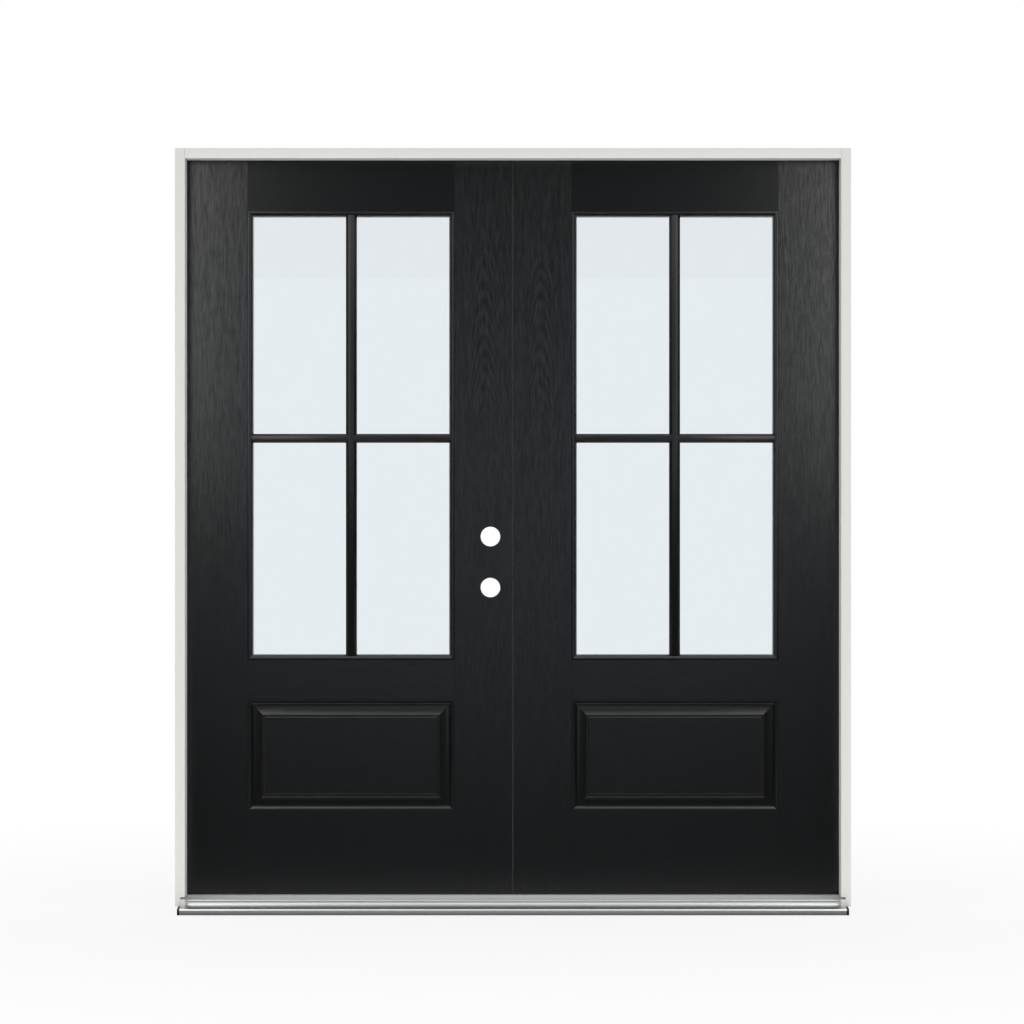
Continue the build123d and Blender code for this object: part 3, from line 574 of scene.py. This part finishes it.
thicken(bm, (0, 0, 1), sheet)
bmesh.ops.recalc_face_normals(bm, faces=bm.faces)
place("sill_deck_bent", bm, finishes["sill_aluminium"], "frame", "sill_aluminium", "sill_deck")

# %% [markdown]
# ## Softened copies
# Sawn, extruded and stamped pieces already have the right shape, but their edges are perfectly sharp,
# and sharp edges catch no light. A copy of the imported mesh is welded, its flat areas are joined, and its
# edges are rounded.

# %% Round the edges of the plain pieces
WELD, FLAT_BELOW = 0.01 * MM, math.radians(1)


def softened(node, width):
    """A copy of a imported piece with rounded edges, on the same body."""
    bm = bmesh.new()
    bm.from_mesh(nodes[node].data)
    bmesh.ops.remove_doubles(bm, verts=bm.verts, dist=WELD)
    bmesh.ops.dissolve_limit(bm, angle_limit=FLAT_BELOW, verts=bm.verts, edges=bm.edges)
    soften(bm, width)
    slot = slot_of[node]
    place(f"{node}_softened", bm, finishes[slot], nodes[node]["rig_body"], slot, node)


edge_widths = {"left_jamb": 0.9, "right_jamb": 0.9, "head_jamb": 0.9, "threshold_cap": 0.8,
               "sill_end_caps": 0.8, "sill_end_dams": 0.5, "left_weatherstrip": 0.4,
               "right_weatherstrip": 0.4, "head_weatherstrip": 0.4, "active_door_sweep": 0.3,
               "passive_door_sweep": 0.3, "top_bolt": 0.8, "bottom_bolt": 0.8, "top_bolt_plate": 0.4,
               "bottom_bolt_plate": 0.4, "head_strike_plate": 0.3, "sill_strike_plate": 0.3}
for node, width in edge_widths.items():
    softened(node, width * MM)

# %% [markdown]
# ## The meeting seal
# Between the leaves runs a strip of rubber with one thin lip, which keeps daylight out of the joint. Its
# outline, a base with a lip at its front, is set out at three heights and walled between them. The lip
# stops just short of the other leaf. Below the leaves two walls are pulled out to a pad that shuts the
# gap between the sweeps.

# %% Model the meeting seal
seal_low, seal_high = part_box("meeting_seal")
lip_tip, lip_thickness, lip_drop = -1.585 * MM, 0.8 * MM, 7 * MM
pad_gap, pad_left, pad_right = 0.3 * MM, -4.2 * MM, 3.5 * MM
seal_edge = 0.2 * MM
lip_front = seal_low.y - lip_thickness
levels = (seal_low.z - lip_drop, seal_low.z - pad_gap, seal_high.z)
outline = [(seal_high.x, lip_front), (seal_high.x, seal_high.y), (seal_low.x, seal_high.y),
           (seal_low.x, seal_low.y), (lip_tip, seal_low.y), (lip_tip, lip_front)]
bm = bmesh.new()
end, pad, top = [[bm.verts.new((x, y, z)) for x, y in outline] for z in levels]
bm.faces.new(end)
bm.faces.new(top)
walls = [bm.faces.new((low[i - 1], low[i], high[i], high[i - 1]))
         for low, high in ((end, pad), (pad, top)) for i in range(len(outline))]
for wall, reach in ((walls[1], pad_right), (walls[5], pad_left)):
    for vert in pulled(bm, wall).verts:
        vert.co.x = reach
bmesh.ops.recalc_face_normals(bm, faces=bm.faces)
soften(bm, seal_edge)
place("meeting_seal_with_lip", bm, finishes["seal_rubber"], "passive_leaf", "seal_rubber", "meeting_seal")

# %% [markdown]
# ## The hinges
# Nothing of the hinges shows from outdoors, but an open leaf bares them, so they get round barrels,
# button tips on the pins and cross-headed screws. A knuckle is a short cylinder; a screw head is a disc
# whose cross is cut out of its face and pushed in. Every hinge is the same, so one set of functions
# makes them all.

# %% Model the hinges
hinge_heights = [353.5 * MM, 1091.5 * MM, 1829.5 * MM]
hinge_height, hinge_sheet = 101.6 * MM, 2.6 * MM
plate_start = 23.95 * MM
pin_x, pin_y = 901.2 * MM, 65.05 * MM
knuckle_radius, knuckle_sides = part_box("active_hinge_leaves")[1].y - pin_y, 40
pin_head_radius, pin_tip_radius, pin_head_height = 5.2 * MM, 3.6 * MM, 3.2 * MM
knuckle_pitch, knuckle_slit = hinge_height / 5, 0.35 * MM
notch_gap, neck_end = 0.4 * MM, 4 * MM
hinge_edge, tip_edge, tip_steps = 0.35 * MM, 0.6 * MM, 3
screw_rows = [(-0.37, 33.5 * MM), (-0.13, 47.1 * MM), (0.13, 47.1 * MM), (0.37, 33.5 * MM)]
screw_radius, screw_sides, screw_proud = 4.3 * MM, 36, 0.05 * MM
recess_arm, recess_tip, recess_depth, recess_taper = 0.55 * MM, 2.3 * MM, 1.2 * MM, 0.7
jamb_rebate = 14.3 * MM


def block(bm, low, high):
    """A box between two corners."""
    low, high = Vector(map(min, low, high)), Vector(map(max, low, high))
    matrix = Matrix.Translation((low + high) / 2) @ Matrix.Diagonal((*(high - low), 1))
    bmesh.ops.create_cube(bm, size=1, matrix=matrix)


def knuckle(bm, x, z, height, radius, top_radius):
    """An upright round bar, or a tapered tip, about a hinge's axis."""
    bmesh.ops.create_cone(bm, cap_ends=True, segments=knuckle_sides, radius1=radius, radius2=top_radius,
                          depth=height, matrix=Matrix.Translation((x, pin_y, z)))


def hinge_side(side, x, direction, own):
    """Three hinge leaves on one edge with their own knuckles."""
    bm = bmesh.new()
    notch = pin_y - knuckle_radius - notch_gap
    for z in hinge_heights:
        half = hinge_height / 2
        block(bm, (x, plate_start, z - half), (x + direction * hinge_sheet, notch, z + half))
        for number in own:
            middle = z - half + (number + 0.5) * knuckle_pitch
            reach = (knuckle_pitch - knuckle_slit) / 2
            block(bm, (x, notch, middle - reach),
                  (x + direction * hinge_sheet, pin_y - neck_end, middle + reach))
            knuckle(bm, side * pin_x, middle, 2 * reach, knuckle_radius, knuckle_radius)
    soften(bm, hinge_edge)
    return bm


def closed_ring(bm, verts):
    """Edges from each vertex to the next, and from the last to the first."""
    return [bm.edges.new(pair) for pair in zip(verts, verts[1:] + verts[:1])]


def screw_heads(edges):
    """Flat round heads with a cross recess, set flush in the hinge leaves of some edges."""
    bm = bmesh.new()
    arm, tip = recess_arm, recess_tip
    cross = [(arm, arm), (tip, arm), (tip, -arm), (arm, -arm), (arm, -tip), (-arm, -tip),
             (-arm, -arm), (-tip, -arm), (-tip, arm), (-arm, arm), (-arm, tip), (arm, tip)]
    floor_cross = [(u * recess_taper, v * recess_taper) for u, v in cross]
    seats = [(x, direction, y, z + share * hinge_height) for x, direction in edges for z in hinge_heights
             for share, y in screw_rows]
    for x, direction, y, z in seats:
        turn = Matrix.Translation((x - direction * screw_proud, y, z))
        turn = turn @ Matrix.Rotation(math.radians(-90 * direction), 4, "Y")
        rim = bmesh.ops.create_circle(bm, segments=screw_sides, radius=screw_radius, matrix=turn)["verts"]
        mouth = closed_ring(bm, [bm.verts.new(turn @ Vector((u, v, 0))) for u, v in cross])
        rim_edges = list({e for v in rim for e in v.link_edges})
        bmesh.ops.triangle_fill(bm, edges=mouth + rim_edges, use_beauty=True)
        deep = [bm.verts.new(turn @ Vector((u, v, -recess_depth))) for u, v in floor_cross]
        bmesh.ops.bridge_loops(bm, edges=mouth + closed_ring(bm, deep))
        bm.faces.new(deep)
    bmesh.ops.recalc_face_normals(bm, faces=bm.faces)
    return bm


steel = finishes["hardware_steel"]
leaf_face, jamb_face = -leaf_low.x, -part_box("left_jamb")[0].x - jamb_rebate
for side, leaf, edge in ((-1, "active", "left"), (1, "passive", "right")):
    place(f"{edge}_frame_hinges_round", hinge_side(side, side * jamb_face, side, (0, 2, 4)), steel, "frame",
          "hardware_steel", f"{edge}_frame_hinge_leaves")
    place(f"{leaf}_leaf_hinges_round", hinge_side(side, side * leaf_face, -side, (1, 3)), steel,
          f"{leaf}_leaf", "hardware_steel", f"{leaf}_hinge_leaves")
    place(f"{leaf}_hinge_screw_heads", screw_heads([(side * leaf_face, -side)]), steel, f"{leaf}_leaf",
          "hardware_steel", f"{leaf}_hinge_screws")
place("frame_hinge_screw_heads", screw_heads([(-jamb_face, -1), (jamb_face, 1)]), steel, "frame",
      "hardware_steel", "frame_hinge_screws")
bm = bmesh.new()
for side in (-1, 1):
    for z in hinge_heights:
        middle = z + hinge_height / 2 + pin_head_height / 2
        knuckle(bm, side * pin_x, middle, pin_head_height, pin_head_radius, pin_tip_radius)
soften(bm, tip_edge, tip_steps)
place("hinge_pin_tips", bm, steel, "frame", "hardware_steel", "hinge_pins")

# %% [markdown]
# ## The studio
# The object stands on a white paper sweep. The camera and the glass see plain white all round. Matt
# surfaces get their light from bright sides and from the floor, so that the frame is evenly lit round
# its corners, and shiny ones see a dark room in front and brightness only high up and indoors, so that
# the black leaves keep their depth.

# %% White surround with light from the sides
DOME, SIDES, SIDES_FROM, SIDES_FULL = 0.3, 2.2, 0.4, 0.9
DARK_FRONT, INDOORS, FRONT_END, INDOORS_START = 0.02, 0.4, -0.1, 0.4
BRIGHT_TOP, TOP_FROM, TOP_FULL = 1.0, 0.2, 0.5


def ways_of_seeing(owner):
    """Two shares: one for rays from the eye or through glass, the other for rays off shiny faces."""
    path = add(owner, "LightPath").outputs
    direct = math_of(owner, "MAXIMUM", path["Is Camera Ray"], path["Is Transmission Ray"])
    mirrored = add(owner, "Math", {0: path["Is Glossy Ray"], 1: direct}, operation="SUBTRACT",
                   use_clamp=True)
    return direct, mirrored.outputs[0]


scene = bpy.context.scene
scene.view_settings.view_transform = "Standard"
world = bpy.data.worlds.new("studio")
scene.world = world
world.use_nodes = True
direct, in_mirror = ways_of_seeing(world)
direction = add(world, "SeparateXYZ", {0: add(world, "TexCoord").outputs["Generated"]}).outputs
around = ramp(world, direction["Y"], FRONT_END, INDOORS_START, DARK_FRONT, INDOORS)
mirror_level = ramp(world, direction["Z"], TOP_FROM, TOP_FULL, around, BRIGHT_TOP, "SMOOTHSTEP")
sideways = math_of(world, "ABSOLUTE", direction["X"])
light_level = ramp(world, sideways, SIDES_FROM, SIDES_FULL, DOME, SIDES)
level = either(world, direct, either(world, in_mirror, light_level, mirror_level), 1.0)
background = world.node_tree.nodes["Background"]
background.inputs["Color"].default_value = (1, 1, 1, 1)
world.node_tree.links.new(level, background.inputs["Strength"])
print("world lights with", DOME, "to", SIDES, "and shows white")

# %% [markdown]
# Two upright soft boxes just outside the picture put a sheen on the upper hinge stiles and light nothing
# matt. A broad, slightly blue panel behind the camera gives the middle of the leaves their grey, and a
# weak light high in front lifts the sill and the threshold.

# %% Soft boxes
def soft_box(name, place_at, target, width, height, power, colour=(1, 1, 1), sheen_only=False):
    """A rectangular area light aimed at a point; one for sheen only lights no matt surface."""
    light = bpy.data.lights.new(name, "AREA")
    light.shape, light.color = "RECTANGLE", colour
    light.size, light.size_y, light.energy = width, height, power
    lamp = bpy.data.objects.new(name, light)
    lamp.location = place_at
    lamp.rotation_euler = (Vector(target) - Vector(place_at)).to_track_quat("-Z", "Y").to_euler()
    lamp.visible_diffuse = not sheen_only
    scene.collection.objects.link(lamp)


COLD = (0.78, 0.95, 1.0)
for sign, name in ((-1, "left"), (1, "right")):
    soft_box(f"{name}_soft_box", place_at=(sign * 1.57, -2.6, 2.3), target=(sign * 0.8, 0, 1.6),
             width=1.0, height=2.2, power=17, sheen_only=True)
soft_box("back_panel", place_at=(0, -11.5, 1.3), target=(0, 0, 1.3), width=4.0, height=2.5, power=21,
         colour=COLD)
soft_box("high_front_light", place_at=(0, -3.4, 5.2), target=(0, 0, 0.9), width=4.5, height=1.6,
         power=10)
print("four soft boxes")

# %% [markdown]
# The floor is a wide disc of pale paper. Near the object it keeps part of its own shade, so the sill's
# shadow lies on it; further out it turns to the same white as the surround, which hides the horizon.
# Matt faces get an even glow from it. In shiny faces it is dark, but for a bright band before the sill
# and the floor indoors.

# %% Paper floor
FLOOR_RADIUS, FLOOR_SIDES, PAPER, PAPER_ROUGHNESS = 40, 96, (0.85, 0.85, 0.85), 0.9
FLOOR_BOUNCE = 1.6
NEAR_WHITENESS, NEAR_END, FAR_START = 0.85, 1.0, 3.0
BAND_Y, BAND_LEVEL, BAND_HALF, BAND_END = -0.29, 0.85, 0.05, 0.12
DOORSTEP, ROOM = 0.1, 0.6
bm = bmesh.new()
bmesh.ops.create_circle(bm, cap_ends=True, segments=FLOOR_SIDES, radius=FLOOR_RADIUS)
mesh = bpy.data.meshes.new("studio_floor")
bm.to_mesh(mesh)
bm.free()
floor = bpy.data.objects.new("studio_floor", mesh)
scene.collection.objects.link(floor)
paper, paper_shader = finish("studio_paper", PAPER, PAPER_ROUGHNESS)


def glow(strength):
    """Plain white light of some strength, or of a strength that a socket gives."""
    return add(paper, "Emission", {"Strength": strength}).outputs[0]


def over(share, below, above):
    """One shader over another by a share."""
    return add(paper, "MixShader", {0: share, 1: below, 2: above}).outputs[0]


direct, in_mirror = ways_of_seeing(paper)
off_matt = add(paper, "LightPath").outputs["Is Diffuse Ray"]
distance = add(paper, "VectorMath", {0: object_place(paper)}, operation="LENGTH").outputs["Value"]
whiteness = ramp(paper, distance, NEAR_END, FAR_START, NEAR_WHITENESS)
indoors_y = add(paper, "SeparateXYZ", {0: object_place(paper)}).outputs["Y"]
off_band = math_of(paper, "ABSOLUTE", math_of(paper, "SUBTRACT", indoors_y, BAND_Y))
before_sill = ramp(paper, off_band, BAND_HALF, BAND_END, BAND_LEVEL, DARK_FRONT, "SMOOTHSTEP")
indoors = ramp(paper, indoors_y, DOORSTEP, ROOM, 0.0, INDOORS)
surface = over(math_of(paper, "MULTIPLY", direct, whiteness), paper_shader.outputs[0], glow(1.0))
surface = over(off_matt, surface, glow(FLOOR_BOUNCE))
surface = over(in_mirror, surface, glow(math_of(paper, "MAXIMUM", before_sill, indoors)))
paper.node_tree.links.new(surface, paper.node_tree.nodes["Material Output"].inputs[0])
mesh.materials.append(paper)
print("floor of", len(mesh.polygons[0].vertices), "sides")

# %% [markdown]
# ## The camera
# The photograph was taken straight on and level, from about nine metres, which a long lens makes fill
# the frame. The leaf's scale in the picture, in metres a pixel, fixes the focal length for that
# distance.

# %% Camera
camera_distance, camera_x, camera_height = 8.9, -2.7 * MM, 1.091
picture_pixels, leaf_scale = 1024, 2.734 * MM
jamb_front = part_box("left_jamb")[0].y
focal_pixels = (camera_distance + leaf_front - jamb_front) / leaf_scale
lens = bpy.data.cameras.new("camera")
lens.sensor_width = 36
lens.lens = focal_pixels * lens.sensor_width / picture_pixels
camera = bpy.data.objects.new("camera", lens)
camera.location = (camera_x, jamb_front - camera_distance, camera_height)
camera.rotation_euler = (math.radians(90), 0, 0)
scene.collection.objects.link(camera)
scene.camera = camera
print("camera lens", round(lens.lens, 2), "mm at", [round(v, 3) for v in camera.location])
